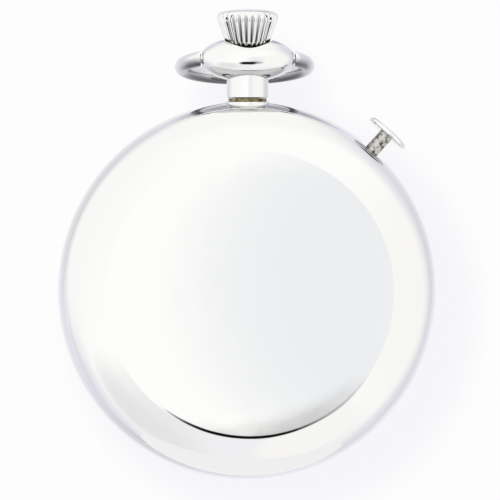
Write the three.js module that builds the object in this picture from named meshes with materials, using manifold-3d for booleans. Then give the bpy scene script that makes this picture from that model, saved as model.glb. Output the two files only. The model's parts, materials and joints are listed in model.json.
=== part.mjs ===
// A mechanical pocket stopwatch: a snap-together chrome case, a fluted crown that winds and
// starts it, a side pusher that resets it, and a lever movement between the dial and the back.
// Local axes while building: x to the right seen from the back, y up to the crown,
// z out of the back. The last lines stand the watch up, so that the crown points to world +Z.
import * as THREE from 'three';
import { mergeVertices } from 'three/addons/utils/BufferGeometryUtils.js';
import Module from 'manifold-3d';

const wasm = await Module();
wasm.setup();

// Driving dimensions of the case, in millimetres.
const caseRadius = 26;
const caseInnerRadius = 22.9;
const snapRadius = 23.9;
const seamRadius = 25.1;
const glassRadius = 21.85;
const dialRadius = 22.5;
const domeHeight = 7.92;
const glassFace = -8;

// Pendant, bow, crown and pusher.
const neckRadius = 2.87;
const neckFoot = 26.45;
const headCentre = 31.8;
const headSize = { x: 6.6, y: 3.15, z: 4.05 };
const headFlat = 6.2;
const crownBase = 33.9;
const crownTop = 38.7;
const crownRadius = 4.17;
const crownFlutes = 26;
const stemRadius = 0.75;
const bowRadius = 8.65;
const bowCentre = 5.6;
const bowWire = 2.1;
const bowDroop = THREE.MathUtils.degToRad(9.5);
const pusherAngle = THREE.MathUtils.degToRad(41.7);
const pusherTop = 29.55;

// Levels of the movement: the main plate, the space for the train and the bridges.
const plateLevel = { low: -3, high: -1.6 };
const bridgeLevel = { low: 1.9, high: 3.1 };
const arborRadius = 0.35;
const holeRadius = 0.5;

// Where the movement's axes stand.
const axes = {
  centre: [0, 0],
  barrel: [-9.3, 9.3],
  second: [-10.1, 0.095],
  third: [-4.28, -5.28],
  escape: [5.38, -2.51],
  pallet: [7.32, -5.42],
  balance: [10.36, -10],
  crownWheel: [0, 13.82],
  minuteIdler: [1.13, 4.36],
  minute: [0, 8.4],
  startLever: [8, 13.5],
  resetHammer: [15.5, 5],
  columnWheel: [14.5, 0.5],
};

// Finishes.
const chrome = { color: 0xdfe1e8, roughness: 0.06, metalness: 1 };
const steel = { color: 0xb9bcc4, roughness: 0.25, metalness: 1 };
const blueSteel = { color: 0x24345e, roughness: 0.3, metalness: 1 };
const brass = { color: 0xc9a45c, roughness: 0.3, metalness: 1 };
const nickel = { color: 0xcfc9bd, roughness: 0.35, metalness: 1 };
const ruby = { color: 0x9c1f3c, roughness: 0.1, metalness: 0 };
const enamel = { color: 0xf4f1e8, roughness: 0.3, metalness: 0 };
const glass = { color: 0xeef4f6, roughness: 0.03, metalness: 0, transparent: true, opacity: 0.3 };

// A geometry with shared corners and no triangles without area.
function closed(geometry) {
  geometry.deleteAttribute('normal');
  geometry.deleteAttribute('uv');
  const merged = mergeVertices(geometry, 1e-5);
  const corners = merged.index.array;
  const kept = [];
  for (let i = 0; i < corners.length; i += 3) {
    const [a, b, c] = corners.slice(i, i + 3);
    if (a !== b && b !== c && c !== a) kept.push(a, b, c);
  }
  merged.setIndex(kept);
  return merged;
}

// A profile of [radius, z] points turned about the z axis. It closes on itself,
// unless it starts and ends on the axis.
function turned(profile, segments = 36) {
  const points = profile.map(([radius, z]) => new THREE.Vector2(radius, z));
  if (THREE.ShapeUtils.area(points) < 0) points.reverse();
  if (points[0].x > 0 || points.at(-1).x > 0) points.push(points[0].clone());
  const geometry = new THREE.LatheGeometry(points, segments);
  geometry.rotateX(Math.PI / 2);
  return closed(geometry);
}

function disc(radius, low, high, segments = 24) {
  return turned([[0, low], [radius, low], [radius, high], [0, high]], segments);
}

function washer(outer, inner, low, high, segments = 24) {
  return turned([[inner, low], [outer, low], [outer, high], [inner, high]], segments);
}

function circlePath(x, y, radius) {
  const path = new THREE.Path();
  path.absarc(x, y, radius, 0, 2 * Math.PI, false);
  return path;
}

// A flat piece of a THREE.Shape between two levels, with round holes [x, y, radius].
function plate(shape, low, high, holes = [], curveSegments = 8) {
  for (const [x, y, radius] of holes) shape.holes.push(circlePath(x, y, radius));
  const geometry = new THREE.ExtrudeGeometry(shape, {
    depth: high - low,
    bevelEnabled: false,
    curveSegments,
  });
  geometry.translate(0, 0, low);
  return closed(geometry);
}

function outline(points) {
  return new THREE.Shape(points.map(([x, y]) => new THREE.Vector2(x, y)));
}

// A bar of one width along a chain of points, with square ends, for levers and flat springs.
function barOutline(points, width) {
  const chain = points.map(([x, y]) => new THREE.Vector2(x, y));
  const left = [];
  const right = [];
  chain.forEach((point, i) => {
    const along = chain[Math.min(i + 1, chain.length - 1)].clone();
    along.sub(chain[Math.max(i - 1, 0)]).normalize();
    const side = new THREE.Vector2(-along.y, along.x).multiplyScalar(width / 2);
    left.push(point.clone().add(side));
    right.unshift(point.clone().sub(side));
  });
  return new THREE.Shape([...left, ...right]);
}

// A spur gear with pointed teeth that end on the pitch circle, so that wheels in mesh
// touch there in every phase. The pitch radius is half of teeth times module.
function gear(teeth, module, low, high, holes = []) {
  const pitch = (teeth * module) / 2;
  const shape = new THREE.Shape();
  for (let i = 0; i < 2 * teeth; i++) {
    const radius = i % 2 ? pitch - 1.2 * module : pitch - 0.02;
    const angle = (i * Math.PI) / teeth;
    const point = [radius * Math.cos(angle), radius * Math.sin(angle)];
    if (i === 0) shape.moveTo(...point);
    else shape.lineTo(...point);
  }
  shape.closePath();
  return plate(shape, low, high, holes, 4);
}

// Round openings between the hub and the rim of a wheel.
function crossings(count, distance, radius) {
  const holes = [];
  for (let i = 0; i < count; i++) {
    const angle = (2 * Math.PI * (i + 0.5)) / count;
    holes.push([distance * Math.cos(angle), distance * Math.sin(angle), radius]);
  }
  return holes;
}

function solid(geometry) {
  return new wasm.Manifold(new wasm.Mesh({
    numProp: 3,
    vertProperties: new Float32Array(geometry.attributes.position.array),
    triVerts: new Uint32Array(geometry.index.array),
  }));
}

function geometryOf(body) {
  const { vertProperties, triVerts } = body.getMesh();
  const geometry = new THREE.BufferGeometry();
  geometry.setAttribute('position', new THREE.BufferAttribute(vertProperties, 3));
  geometry.setIndex([...triVerts]);
  return geometry;
}

function cut(geometry, ...tools) {
  return geometryOf(tools.reduce((body, tool) => body.subtract(solid(tool)), solid(geometry)));
}

function join(geometry, ...others) {
  return geometryOf(others.reduce((body, other) => body.add(solid(other)), solid(geometry)));
}

function box(width, height, depth, x, y, z) {
  return closed(new THREE.BoxGeometry(width, height, depth).translate(x, y, z));
}

function moved(geometry, x, y, z = 0) {
  return geometry.clone().translate(x, y, z);
}

// Turns a shape built along z so that it points along +y.
function alongY(geometry) {
  return geometry.clone().rotateX(-Math.PI / 2);
}

// Turns a shape built along z so that it points along the pusher's axis.
function alongPusher(geometry) {
  return alongY(geometry).rotateZ(-pusherAngle);
}

// Turns a shape built along z so that it points along +x.
function alongX(geometry) {
  return geometry.clone().rotateY(Math.PI / 2);
}

const watch = new THREE.Group();

function add(name, geometry, finish, place = [0, 0], parent = watch) {
  const material = new THREE.MeshStandardMaterial({ ...finish, flatShading: true });
  const mesh = new THREE.Mesh(geometry, material);
  mesh.name = name;
  mesh.position.set(place[0], place[1], place[2] ?? 0);
  parent.add(mesh);
  return mesh;
}

// The case: band, back, bezel, glass, dial ring.

function caseMiddle() {
  const band = turned([
    [25.35, -4.3], [25.75, -2.6], [caseRadius, -0.4], [25.85, 1.4], [25.45, 2.9], [25.15, 3.7],
    [snapRadius, 3.7], [snapRadius, 2.2], [caseInnerRadius, 2.2],
    [caseInnerRadius, -3.1], [snapRadius, -3.1], [snapRadius, -4.3],
  ], 48);
  const boss = alongY(disc(3.05, 24.4, 25.9, 32));
  const bushHole = alongY(disc(2.68, 22, 27, 32));
  const pusherRecess = alongPusher(disc(2.8, 24.9, 27, 28));
  const sleeveHole = alongPusher(disc(1.78, 22, 27, 24));
  const lipNotch = box(4, 0.7, 0.5, 0, -seamRadius - 0.25, 3.55).rotateZ(Math.PI / 4);
  return cut(join(band, boss), bushHole, pusherRecess, sleeveHole, lipNotch);
}

function backCover() {
  return turned([
    [0, domeHeight], [10, 7.75], [16, 7.45], [20.3, 6.97], [21.8, 6.5], [23.2, 5.8],
    [24.3, 5], [25.05, 4.1], [seamRadius, 3.75],
    [23.8, 3.75], [23.8, 2.75], [23, 2.75], [23, 4], [21, 5.9], [10, 7], [0, 7.15],
  ], 48);
}

function bezel() {
  return turned([
    [23, -3.4], [23.75, -3.4], [23.75, -4.35], [25.3, -4.35], [25.2, -5], [24.4, -6.2],
    [23.2, -7], [22.5, -7.2], [22, -7], [22, -6.6], [22.6, -6.6], [22.6, -5.6], [23, -5.4],
  ], 44);
}

function crystal() {
  return turned([
    [0, glassFace], [21.4, glassFace], [glassRadius, -7.6], [glassRadius, -6.5],
    [22.45, -6.5], [22.45, -5.7], [21.2, -5.7], [21.2, -7], [0, -7],
  ], 36);
}

add('case_middle', caseMiddle(), chrome);
add('back_cover', backCover(), chrome);
add('bezel', bezel(), chrome);
add('crystal', crystal(), glass);
add('dial_ring', washer(22.4, 21.4, -5.6, -4.4, 36), nickel);

// The pendant with its bow, and the crown on its sprung sleeve.

function pendant() {
  const neck = alongY(disc(neckRadius, neckFoot, 30.5, 24));
  const head = closed(new THREE.SphereGeometry(1, 24, 14));
  head.scale(headSize.x, headSize.y, headSize.z);
  head.translate(0, headCentre, 0);
  const flats = [-1, 1].map((side) => box(2, 8, 10, side * (headFlat + 1), headCentre, 0));
  const pivots = [-1, 1].map((side) => (
    moved(alongX(disc(0.75, -1, 1, 16)), side * 5.5, headCentre)
  ));
  const crownHole = alongY(disc(3.6, 32.7, 36, 24));
  const bore = alongY(disc(1.75, 26, 33, 24));
  return cut(join(neck, head), ...flats, ...pivots, crownHole, bore);
}

// A ring of round wire, opened where it straddles the pendant, with a pin at each end.
// It is built standing up about its pivot line, which is the x axis.
function bow() {
  const end = Math.asin(bowCentre / bowRadius);
  class BowLine extends THREE.Curve {
    getPoint(t, target = new THREE.Vector3()) {
      const angle = -end - 0.1 + t * (Math.PI + 2 * end + 0.2);
      return target.set(
        bowRadius * Math.cos(angle),
        bowCentre + bowRadius * Math.sin(angle),
        0,
      );
    }
  }
  const section = new THREE.Shape();
  section.absarc(0, 0, bowWire / 2, 0, 2 * Math.PI, false);
  const wire = closed(new THREE.ExtrudeGeometry(section, {
    steps: 32,
    curveSegments: 4,
    extrudePath: new BowLine(),
  }));
  const straddle = box(2 * (headFlat + 0.25), 6, 6, 0, -1, 0);
  const below = box(30, 6, 6, 0, -4.05, 0);
  const pins = [-1, 1].map((side) => (
    moved(alongX(disc(0.6, -1.3, 1.3, 16)), side * 6.1, 0)
  ));
  return join(cut(wire, straddle, below), ...pins);
}

function crown() {
  const profile = [
    [stemRadius + 0.08, crownBase + 2.2], [stemRadius + 0.08, crownBase], [2.75, crownBase],
    [3.15, 34.5], [3.7, 36], [crownRadius, 37.1], [crownRadius, 37.9], [3.6, 38.35],
    [2, 38.62], [0, crownTop], [0, crownBase + 2.2],
  ];
  const shape = turned(profile, 2 * crownFlutes);
  const position = shape.attributes.position;
  for (let i = 0; i < position.count; i++) {
    const [x, y, z] = [position.getX(i), position.getY(i), position.getZ(i)];
    const meridian = Math.round((Math.atan2(y, x) / Math.PI) * crownFlutes);
    const fluted = Math.hypot(x, y) > 3 && z < 38 && meridian % 2;
    if (fluted) position.setXYZ(i, 0.94 * x, 0.94 * y, z);
  }
  return alongY(shape);
}

const bushing = washer(2.62, 1.72, 22.95, 26.4, 32);
const sleeve = washer(1.58, 0.9, 23.4, 33.2);
const winding = new THREE.Group();
watch.add(winding);

// The stem: a round shaft to the crown with a square inner end that drives the pinion.
function windingStem() {
  const shaft = alongY(disc(stemRadius, 20.6, crownBase + 2.1, 20));
  const square = box(0.9, 5.2, 0.9, 0, 18.1, 0);
  return join(shaft, square);
}

add('pendant_neck', pendant(), chrome);
add('pendant_bush', alongY(bushing), brass);
add('push_sleeve', alongY(sleeve), steel, [0, 0], winding);
add('winding_stem', windingStem(), steel, [0, 0], winding);
add('crown', crown(), chrome, [0, 0], winding);

const ringPivot = new THREE.Group();
ringPivot.position.y = headCentre;
ringPivot.rotation.x = -Math.PI / 2 - bowDroop;
watch.add(ringPivot);
add('bow', bow(), chrome, [0, 0], ringPivot);

// The side pusher, which stands on its own axis.

const pusherHead = turned([
  [0, 28.67], [3, 28.67], [3.1, 28.8], [3.1, 29.2], [2.8, 29.42], [1.5, pusherTop - 0.03],
  [0, pusherTop],
], 32);
add('pusher_button', alongPusher(pusherHead), chrome);
add('pusher_stem', alongPusher(disc(1, 19.1, 28.65, 24)), steel);
add('pusher_sleeve', alongPusher(washer(1.7, 1.1, 22.7, 25.2)), steel);

// The dial side: dial, hands and the minute counter's wheels.

function secondsHand() {
  const blade = plate(outline([
    [-0.45, -4.5], [0.45, -4.5], [0.28, 0], [0.09, 19.6], [-0.09, 19.6], [-0.28, 0],
  ]), -5.8, -5.55);
  return cut(join(blade, disc(1, -5.8, -5.55)), disc(0.4, -7, -5));
}

function minuteHand() {
  const blade = plate(outline([[-0.35, -0.9], [0.35, -0.9], [0.07, 4.4], [-0.07, 4.4]]), -5, -4.8);
  return cut(join(blade, disc(0.6, -5, -4.8)), disc(0.4, -7, -4));
}

const centreHole = [0, 0, 0.9];
const minuteHole = [...axes.minute, 0.6];
const dialFace = plate(circleOutline(dialRadius, 48), -4.3, -3.95, [centreHole, minuteHole]);

function circleOutline(radius, sides) {
  const points = [];
  for (let i = 0; i < sides; i++) {
    const angle = (2 * Math.PI * i) / sides;
    points.push([radius * Math.cos(angle), radius * Math.sin(angle)]);
  }
  return outline(points);
}

add('dial', dialFace, enamel);
add('seconds_hand', secondsHand(), blueSteel);
add('minute_hand', minuteHand(), blueSteel, axes.minute);

// The movement's fixed pieces: main plate, bridges and cocks.

const movement = new THREE.Group();
watch.add(movement);

function arcPoints(radius, fromDegrees, toDegrees, count) {
  const points = [];
  for (let i = 0; i <= count; i++) {
    const degrees = fromDegrees + ((toDegrees - fromDegrees) * i) / count;
    const angle = THREE.MathUtils.degToRad(degrees);
    points.push([radius * Math.cos(angle), radius * Math.sin(angle)]);
  }
  return points;
}

function hole(axis, radius = holeRadius) {
  return [...axis, radius];
}

const pinionWindow = box(6.4, 2.1, 10, 0, 18.9, 0);

function mainPlate() {
  const turnedPlate = turned([
    [0, plateLevel.low], [21.6, plateLevel.low], [21.6, -3.92], [dialRadius, -3.92],
    [dialRadius, plateLevel.high], [0, plateLevel.high],
  ], 44);
  const pivoted = ['centre', 'barrel', 'second', 'third', 'escape', 'pallet', 'balance',
    'minuteIdler', 'minute', 'startLever', 'resetHammer', 'columnWheel'];
  const bores = pivoted.map((name) => moved(disc(holeRadius, -4, 0, 12), ...axes[name]));
  return cut(turnedPlate, ...bores, pinionWindow);
}

// A bridge is a flat plate on round feet that stand on the main plate.
function bridge(shape, level, holes, feet) {
  const table = plate(shape, level.low, level.high, holes);
  const posts = feet.map(([x, y, radius]) => (
    moved(disc(radius, plateLevel.high + 0.01, level.low + 0.2, 16), x, y)
  ));
  return join(table, ...posts);
}

const barrelFeet = [[-19.3, 4.4, 1.2], [5.6, 18.9, 1.2]];
const trainFeet = [[-14, -13, 1.5], [9, 1.2, 1.1]];
const cockFoot = [[2.6, -18.8, 1.8]];
const palletFeet = [[4.6, -8.2, 0.7], [9.6, -1.9, 0.6]];

function barrelBridge() {
  const edge = arcPoints(21.3, 172, 68, 16);
  const shape = outline([...edge, [6.6, 10.4], [3.2, 3.1]]);
  const holes = [hole(axes.barrel, 1.2), hole(axes.crownWheel, 0.62)];
  return cut(bridge(shape, bridgeLevel, holes, barrelFeet), pinionWindow);
}

function trainBridge() {
  const edge = arcPoints(20.3, 176, 229, 10);
  const shape = outline([...edge, [-5.2, -9.6], [2.2, -5.6], [8, -3], [10.4, 0.2], [9.8, 2.4],
    [-20, 2.4]]);
  const pivots = [axes.centre, axes.second, axes.third, axes.escape];
  return bridge(shape, bridgeLevel, pivots.map((axis) => hole(axis)), trainFeet);
}

function balanceCock() {
  const shape = barOutline([[2.2, -20], [4.6, -16.4], axes.balance, [12, -8.4]], 3.6);
  const level = { low: 2, high: bridgeLevel.high };
  return bridge(shape, level, [hole(axes.balance)], cockFoot);
}

function palletBridge() {
  const shape = barOutline([[4.2, -9], [6.4, -6.4], axes.pallet, [8.6, -4], [9.9, -1.3]], 1.5);
  return bridge(shape, { low: -0.8, high: -0.3 }, [hole(axes.pallet)], palletFeet);
}

add('main_plate', mainPlate(), nickel, [0, 0], movement);
add('barrel_bridge', barrelBridge(), nickel, [0, 0], movement);
add('train_bridge', trainBridge(), nickel, [0, 0], movement);
add('balance_cock', balanceCock(), nickel, [0, 0], movement);
add('pallet_bridge', palletBridge(), nickel, [0, 0], movement);

// Slotted screws with their heads on the bridges.
const screwPlaces = [...barrelFeet, ...trainFeet, ...cockFoot];

function slottedScrew() {
  const head = disc(1, bridgeLevel.high + 0.02, bridgeLevel.high + 0.45, 16);
  return cut(head, box(3, 0.3, 0.4, 0, 0, bridgeLevel.high + 0.45));
}

screwPlaces.forEach(([x, y], i) => {
  add(`bridge_screw_${i + 1}`, slottedScrew(), blueSteel, [x, y], movement);
});

// The going train. Every wheel sits on an arbor that also carries its pinion.

function wheel(teeth, module, low, high, bore = arborRadius + 0.1, holes = []) {
  return gear(teeth, module, low, high, [[0, 0, bore], ...holes]);
}

function pinion(leaves, module, low, high, from = plateLevel.low + 0.1, to = bridgeLevel.high) {
  return join(disc(arborRadius, from, to, 12), gear(leaves, module, low, high));
}

function mainspringBarrel() {
  const drum = turned([
    [1.25, -1.4], [7, -1.4], [7.3, -1.1], [7.3, 1.3], [1.25, 1.3], [1.25, 1.1], [7.05, 1.1],
    [7.05, -1.1], [1.25, -1.1],
  ], 32);
  return join(drum, cut(gear(72, 0.22, -1.4, -0.8), disc(6.9, -2, 0, 32)));
}

function centreArbor() {
  const arbor = pinion(8, 0.2, -1.2, -0.4, -6);
  return join(arbor, gear(10, 0.15, -3.75, -3.2));
}

function heartCam() {
  const points = [];
  for (let i = 0; i < 24; i++) {
    const turn = (2 * Math.PI * i) / 24;
    const radius = 0.85 + (1.3 * Math.abs(turn - Math.PI)) / Math.PI;
    points.push([radius * Math.sin(turn), radius * Math.cos(turn)]);
  }
  return plate(outline(points.reverse()), -0.35, 0.15, [[0, 0, 0.4]]);
}

function escapeWheel() {
  const shape = new THREE.Shape();
  for (let i = 0; i < 15; i++) {
    const start = (2 * Math.PI * i) / 15;
    const tooth = [[2.3, 0], [2.9, 0.1], [2.9, 0.16], [2.3, 0.22]];
    for (const [radius, lead] of tooth) {
      const point = [radius * Math.cos(start + lead), radius * Math.sin(start + lead)];
      if (i === 0 && lead === 0) shape.moveTo(...point);
      else shape.lineTo(...point);
    }
  }
  shape.closePath();
  return plate(shape, -1.25, -0.95, [[0, 0, arborRadius + 0.1], ...crossings(4, 1.35, 0.5)]);
}

add('mainspring_barrel', mainspringBarrel(), brass, axes.barrel, movement);
add('second_wheel', wheel(64, 0.22, 1.45, 1.7, 0.45, crossings(4, 3.9, 1.5)), brass,
  axes.second, movement);
add('second_pinion', pinion(12, 0.22, -1.45, -0.5), steel, axes.second, movement);
add('third_wheel', wheel(60, 0.2, -0.9, -0.65, 0.45, crossings(4, 3.3, 1.25)), brass,
  axes.third, movement);
add('third_pinion', pinion(8, 0.22, 1.3, 1.85), steel, axes.third, movement);
add('fourth_wheel', wheel(60, 0.18, 0.3, 0.55, 0.45, crossings(4, 2.9, 1.1)), brass,
  axes.centre, movement);
add('centre_arbor', centreArbor(), steel, axes.centre, movement);
add('heart_cam', heartCam(), steel, axes.centre, movement);
add('escape_wheel', escapeWheel(), steel, axes.escape, movement);
add('escape_pinion', pinion(6, 0.18, 0.1, 0.75), steel, axes.escape, movement);
add('minute_idler', wheel(50, 0.15, -3.6, -3.4, 0.45, crossings(4, 2, 0.8)), brass,
  axes.minuteIdler, movement);
add('minute_idler_pinion', pinion(8, 0.15, -3.92, -3.65, -3.92, -1.7), steel,
  axes.minuteIdler, movement);
add('minute_wheel', wheel(48, 0.15, -3.9, -3.7, 0.45, crossings(4, 2, 0.8)), brass,
  axes.minute, movement);
add('minute_arbor', disc(arborRadius, -5.05, -1.7, 12), steel, axes.minute, movement);

// The lever escapement.

function palletFork() {
  const lever = plate(barOutline([[0, 0], [1.88, -2.83]], 0.5), -1.2, -0.95);
  const arms = plate(barOutline([[-2.33, -0.47], [0, -0.1], [1.33, 1.97]], 0.5), -1.2, -0.95);
  const arbor = disc(0.3, plateLevel.low + 0.1, -0.3, 12);
  return join(lever, arms, disc(0.45, -1.2, -0.95, 12), arbor);
}

function balanceWheel() {
  const rim = washer(6.8, 5.9, 0.15, 0.8, 32);
  const arms = [0, 1].map((i) => (
    box(12.4, 0.8, 0.4, 0, 0, 0.45).rotateZ((i * Math.PI) / 2)
  ));
  return cut(join(rim, ...arms), disc(0.55, 0, 1));
}

function balanceStaff() {
  return turned([
    [0, -2.9], [0.15, -2.9], [0.15, -1.5], [0.45, -1.2], [0.45, 1.5], [0.15, 1.8],
    [0.15, 3], [0, 3],
  ], 16);
}

// A flat spiral of rectangular wire.
function hairspring() {
  const turns = 4;
  const steps = 14 * turns;
  const inner = [];
  const outer = [];
  for (let i = 0; i <= steps; i++) {
    const angle = (2 * Math.PI * turns * i) / steps;
    const radius = 0.75 + (2.7 * i) / steps;
    const aim = [Math.cos(angle), Math.sin(angle)];
    inner.push(aim.map((value) => value * (radius - 0.06)));
    outer.unshift(aim.map((value) => value * (radius + 0.06)));
  }
  return plate(outline([...inner, ...outer].reverse()), 1.1, 1.4);
}

add('pallet_fork', palletFork(), steel, axes.pallet, movement);
add('balance_wheel', balanceWheel(), brass, axes.balance, movement);
add('balance_staff', balanceStaff(), steel, axes.balance, movement);
add('safety_roller', washer(1.3, 0.48, -0.9, -0.6), steel, axes.balance, movement);
add('hairspring', hairspring(), blueSteel, axes.balance, movement);
add('balance_jewel', disc(1, 3.13, 3.35, 16), ruby, axes.balance, movement);

// Winding: the stem's pinion, the crown wheel, the ratchet wheel and its click.

const windingLevel = { low: 3.2, high: 3.7 };

function windingPinion() {
  const teeth = alongY(gear(25, 0.22, 18.2, 19.6));
  return cut(teeth, box(1, 4, 1, 0, 19, 0));
}

function crownWheel() {
  return join(gear(40, 0.22, windingLevel.low, windingLevel.high), disc(0.5, 1.95, 3.3, 16));
}

function barrelArbor() {
  return turned([
    [0, -2.9], [0.4, -2.9], [0.4, -1.5], [1.05, -1.3], [1.05, 3.14], [0.8, 3.14], [0.8, 3.68],
    [0, 3.68],
  ], 20);
}

// The mainspring lies in the barrel as a band wound round the arbor.
function mainspring() {
  const turns = 4;
  const steps = 14 * turns;
  const inner = [];
  const outer = [];
  for (let i = 0; i <= steps; i++) {
    const angle = (2 * Math.PI * turns * i) / steps;
    const radius = 1.6 + (5 * i) / steps;
    const aim = [Math.cos(angle), Math.sin(angle)];
    inner.push(aim.map((value) => value * (radius - 0.12)));
    outer.unshift(aim.map((value) => value * (radius + 0.12)));
  }
  return plate(outline([...inner, ...outer].reverse()), -1, 1);
}

const clickPivot = [-17.2, 5.6];
const click = join(
  plate(barOutline([[-0.3, -0.6], [0, 0], [1.45, 2.8]], 0.7), 3.2, 3.6),
  disc(0.7, 3.14, 3.75, 16),
);
const clickSpring = plate(barOutline([[-17.3, 11.6], [-18.6, 8.5], [-18.7, 6.2]], 0.25), 3.2, 3.55);

function slottedCap(radius) {
  const low = windingLevel.high + 0.03;
  return cut(disc(radius, low, low + 0.4, 20), box(4 * radius, 0.35, 0.4, 0, 0, low + 0.4));
}

add('winding_pinion', windingPinion(), steel, [0, 0], movement);
add('crown_wheel', crownWheel(), steel, axes.crownWheel, movement);
add('ratchet_wheel', gear(54, 0.22, 3.2, 3.7, [[0, 0, 0.9]]), steel, axes.barrel, movement);
add('ratchet_screw', slottedCap(1.8), blueSteel, axes.barrel, movement);
add('barrel_arbor', barrelArbor(), steel, axes.barrel, movement);
add('mainspring', mainspring(), blueSteel, axes.barrel, movement);
add('click', click, steel, clickPivot, movement);
add('click_spring', clickSpring, blueSteel, [0, 0], movement);

// The start lever under the stem, the reset hammer behind the pusher, and the column wheel.

function startLever() {
  const [x, y] = axes.startLever;
  const nose = plate(barOutline([[x, y], [-0.3, 14.85]], 0.9), 0.2, 0.7);
  const arm = plate(barOutline([[x, y], [10.6, 6], [12, -2.5]], 1), 0.2, 0.7);
  const hub = moved(disc(1.2, 0.2, 0.7, 20), x, y);
  return cut(join(nose, arm, hub), moved(disc(holeRadius, 0, 1, 16), x, y));
}

function resetHammer() {
  const [x, y] = axes.resetHammer;
  const tail = plate(barOutline([[x, y], [12.1, 13.6]], 1.2), -0.35, 0.05);
  const arm = plate(barOutline([[x, y], [8, 6.4], [-1, 6.2]], 1), -0.35, 0.05);
  const face = plate(outline([[-2.2, 5.5], [2.2, 5.5], [1.6, 6.9], [-1.6, 6.9]]), -0.35, 0.05);
  const hub = moved(disc(1.2, -0.35, 0.05, 20), x, y);
  return cut(join(tail, arm, face, hub), moved(disc(holeRadius, -1, 1, 16), x, y));
}

function shoulderStud(top) {
  return turned([[0, -2.9], [0.4, -2.9], [0.4, top], [0.9, top], [0.9, top + 0.35],
    [0, top + 0.35]], 16);
}

function columnWheel() {
  const columns = [];
  for (let i = 0; i < 4; i++) {
    const angle = (i * Math.PI) / 2;
    columns.push(moved(disc(0.55, 1.1, 1.8, 8), 1.5 * Math.cos(angle), 1.5 * Math.sin(angle)));
  }
  const ratchet = gear(12, 0.4, 0.9, 1.2);
  return join(ratchet, disc(0.4, -2.9, 2.2, 12), ...columns);
}

add('start_lever', startLever(), steel, [0, 0], movement);
add('start_lever_stud', shoulderStud(0.75), steel, axes.startLever, movement);
add('reset_hammer', resetHammer(), steel, [0, 0], movement);
add('reset_hammer_stud', shoulderStud(0.1), steel, axes.resetHammer, movement);
add('column_wheel', columnWheel(), steel, axes.columnWheel, movement);

// Stand the watch up: the crown to +Z, the back to -Y and the dial to +Y.
watch.rotation.x = Math.PI / 2;

export default watch;
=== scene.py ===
import json
import math

import bmesh
import bpy
import numpy as np
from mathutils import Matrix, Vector


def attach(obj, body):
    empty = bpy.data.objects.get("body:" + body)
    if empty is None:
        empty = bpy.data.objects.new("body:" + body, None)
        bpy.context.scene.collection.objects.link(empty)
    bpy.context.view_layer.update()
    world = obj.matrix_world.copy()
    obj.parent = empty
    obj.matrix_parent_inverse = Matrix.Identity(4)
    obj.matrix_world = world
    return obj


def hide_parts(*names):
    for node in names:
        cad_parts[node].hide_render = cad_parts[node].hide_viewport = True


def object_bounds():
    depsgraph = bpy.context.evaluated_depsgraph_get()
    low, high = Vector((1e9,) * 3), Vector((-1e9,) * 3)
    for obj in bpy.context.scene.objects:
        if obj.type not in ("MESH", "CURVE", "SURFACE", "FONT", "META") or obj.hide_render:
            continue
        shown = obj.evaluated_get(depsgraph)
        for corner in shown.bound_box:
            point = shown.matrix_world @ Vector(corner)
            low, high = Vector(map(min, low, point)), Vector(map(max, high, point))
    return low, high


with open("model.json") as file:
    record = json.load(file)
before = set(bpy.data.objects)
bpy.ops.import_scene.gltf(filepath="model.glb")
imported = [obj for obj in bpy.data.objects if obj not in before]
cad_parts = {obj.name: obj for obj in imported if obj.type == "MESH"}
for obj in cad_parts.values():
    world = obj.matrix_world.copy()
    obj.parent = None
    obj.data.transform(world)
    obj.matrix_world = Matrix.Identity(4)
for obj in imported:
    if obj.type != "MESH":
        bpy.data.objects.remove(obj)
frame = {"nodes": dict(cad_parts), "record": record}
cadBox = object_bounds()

mm = 0.001
nodes = frame["nodes"]


# colours, nodes and materials
def linear(hexColour):
    # sRGB hex to linear: each channel c is c / 12.92 below 0.04045,
    # or ((c + 0.055) / 1.055) ^ 2.4 above it
    channels = [int(hexColour[i:i + 2], 16) / 255 for i in (1, 3, 5)]
    return [c / 12.92 if c <= 0.04045 else ((c + 0.055) / 1.055) ** 2.4 for c in channels] + [1]


def addNode(tree, kind, settings=None, values=None, links=None, stops=()):
    # settings are the node's own properties, values go on its sockets, links bring in other
    # sockets, and stops are a colour ramp's pairs of position and hex colour
    node = tree.nodes.new(kind)
    for key, value in (settings or {}).items():
        setattr(node, key, value)
    for key, value in (values or {}).items():
        node.inputs[key].default_value = value
    for key, source in (links or {}).items():
        tree.links.new(source, node.inputs[key])
    for k, (position, colour) in enumerate(stops):
        element = node.color_ramp.elements[k]
        element.position, element.color = position, linear(colour)
    return node


def newMaterial(name, values):
    # a material whose constants stand on the shader's own sockets
    material = bpy.data.materials.new(name)
    material.use_nodes = True
    tree = material.node_tree
    shader = tree.nodes["Principled BSDF"]
    for key, value in values.items():
        shader.inputs[key].default_value = value
    return material, tree, shader


def wear(tree, shader, look, detail=4.0):
    # soft patches, patchSize millimetres wide: the roughness rises across them by the look's
    # spread, and where the look has stops they also pick the base colour
    noise = dict(roughness=0.6, start=0.4, end=0.75)  # a patch sets in at start, full at end
    place = addNode(tree, "ShaderNodeTexCoord")
    patches = addNode(tree, "ShaderNodeTexNoise", values={
        "Scale": 1 / (look["patchSize"] * mm), "Detail": detail, "Roughness": noise["roughness"]},
        links={"Vector": place.outputs["Object"]})
    rough = addNode(tree, "ShaderNodeMapRange", links={"Value": patches.outputs["Fac"]}, values={
        "From Min": noise["start"], "From Max": noise["end"],
        "To Min": look["roughness"], "To Max": look["roughness"] + look["spread"]})
    tree.links.new(rough.outputs["Result"], shader.inputs["Roughness"])
    if "stops" in look:
        ramp = addNode(tree, "ShaderNodeValToRGB", links={"Fac": patches.outputs["Fac"]},
                       stops=look["stops"])
        tree.links.new(ramp.outputs["Color"], shader.inputs["Base Color"])


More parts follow.
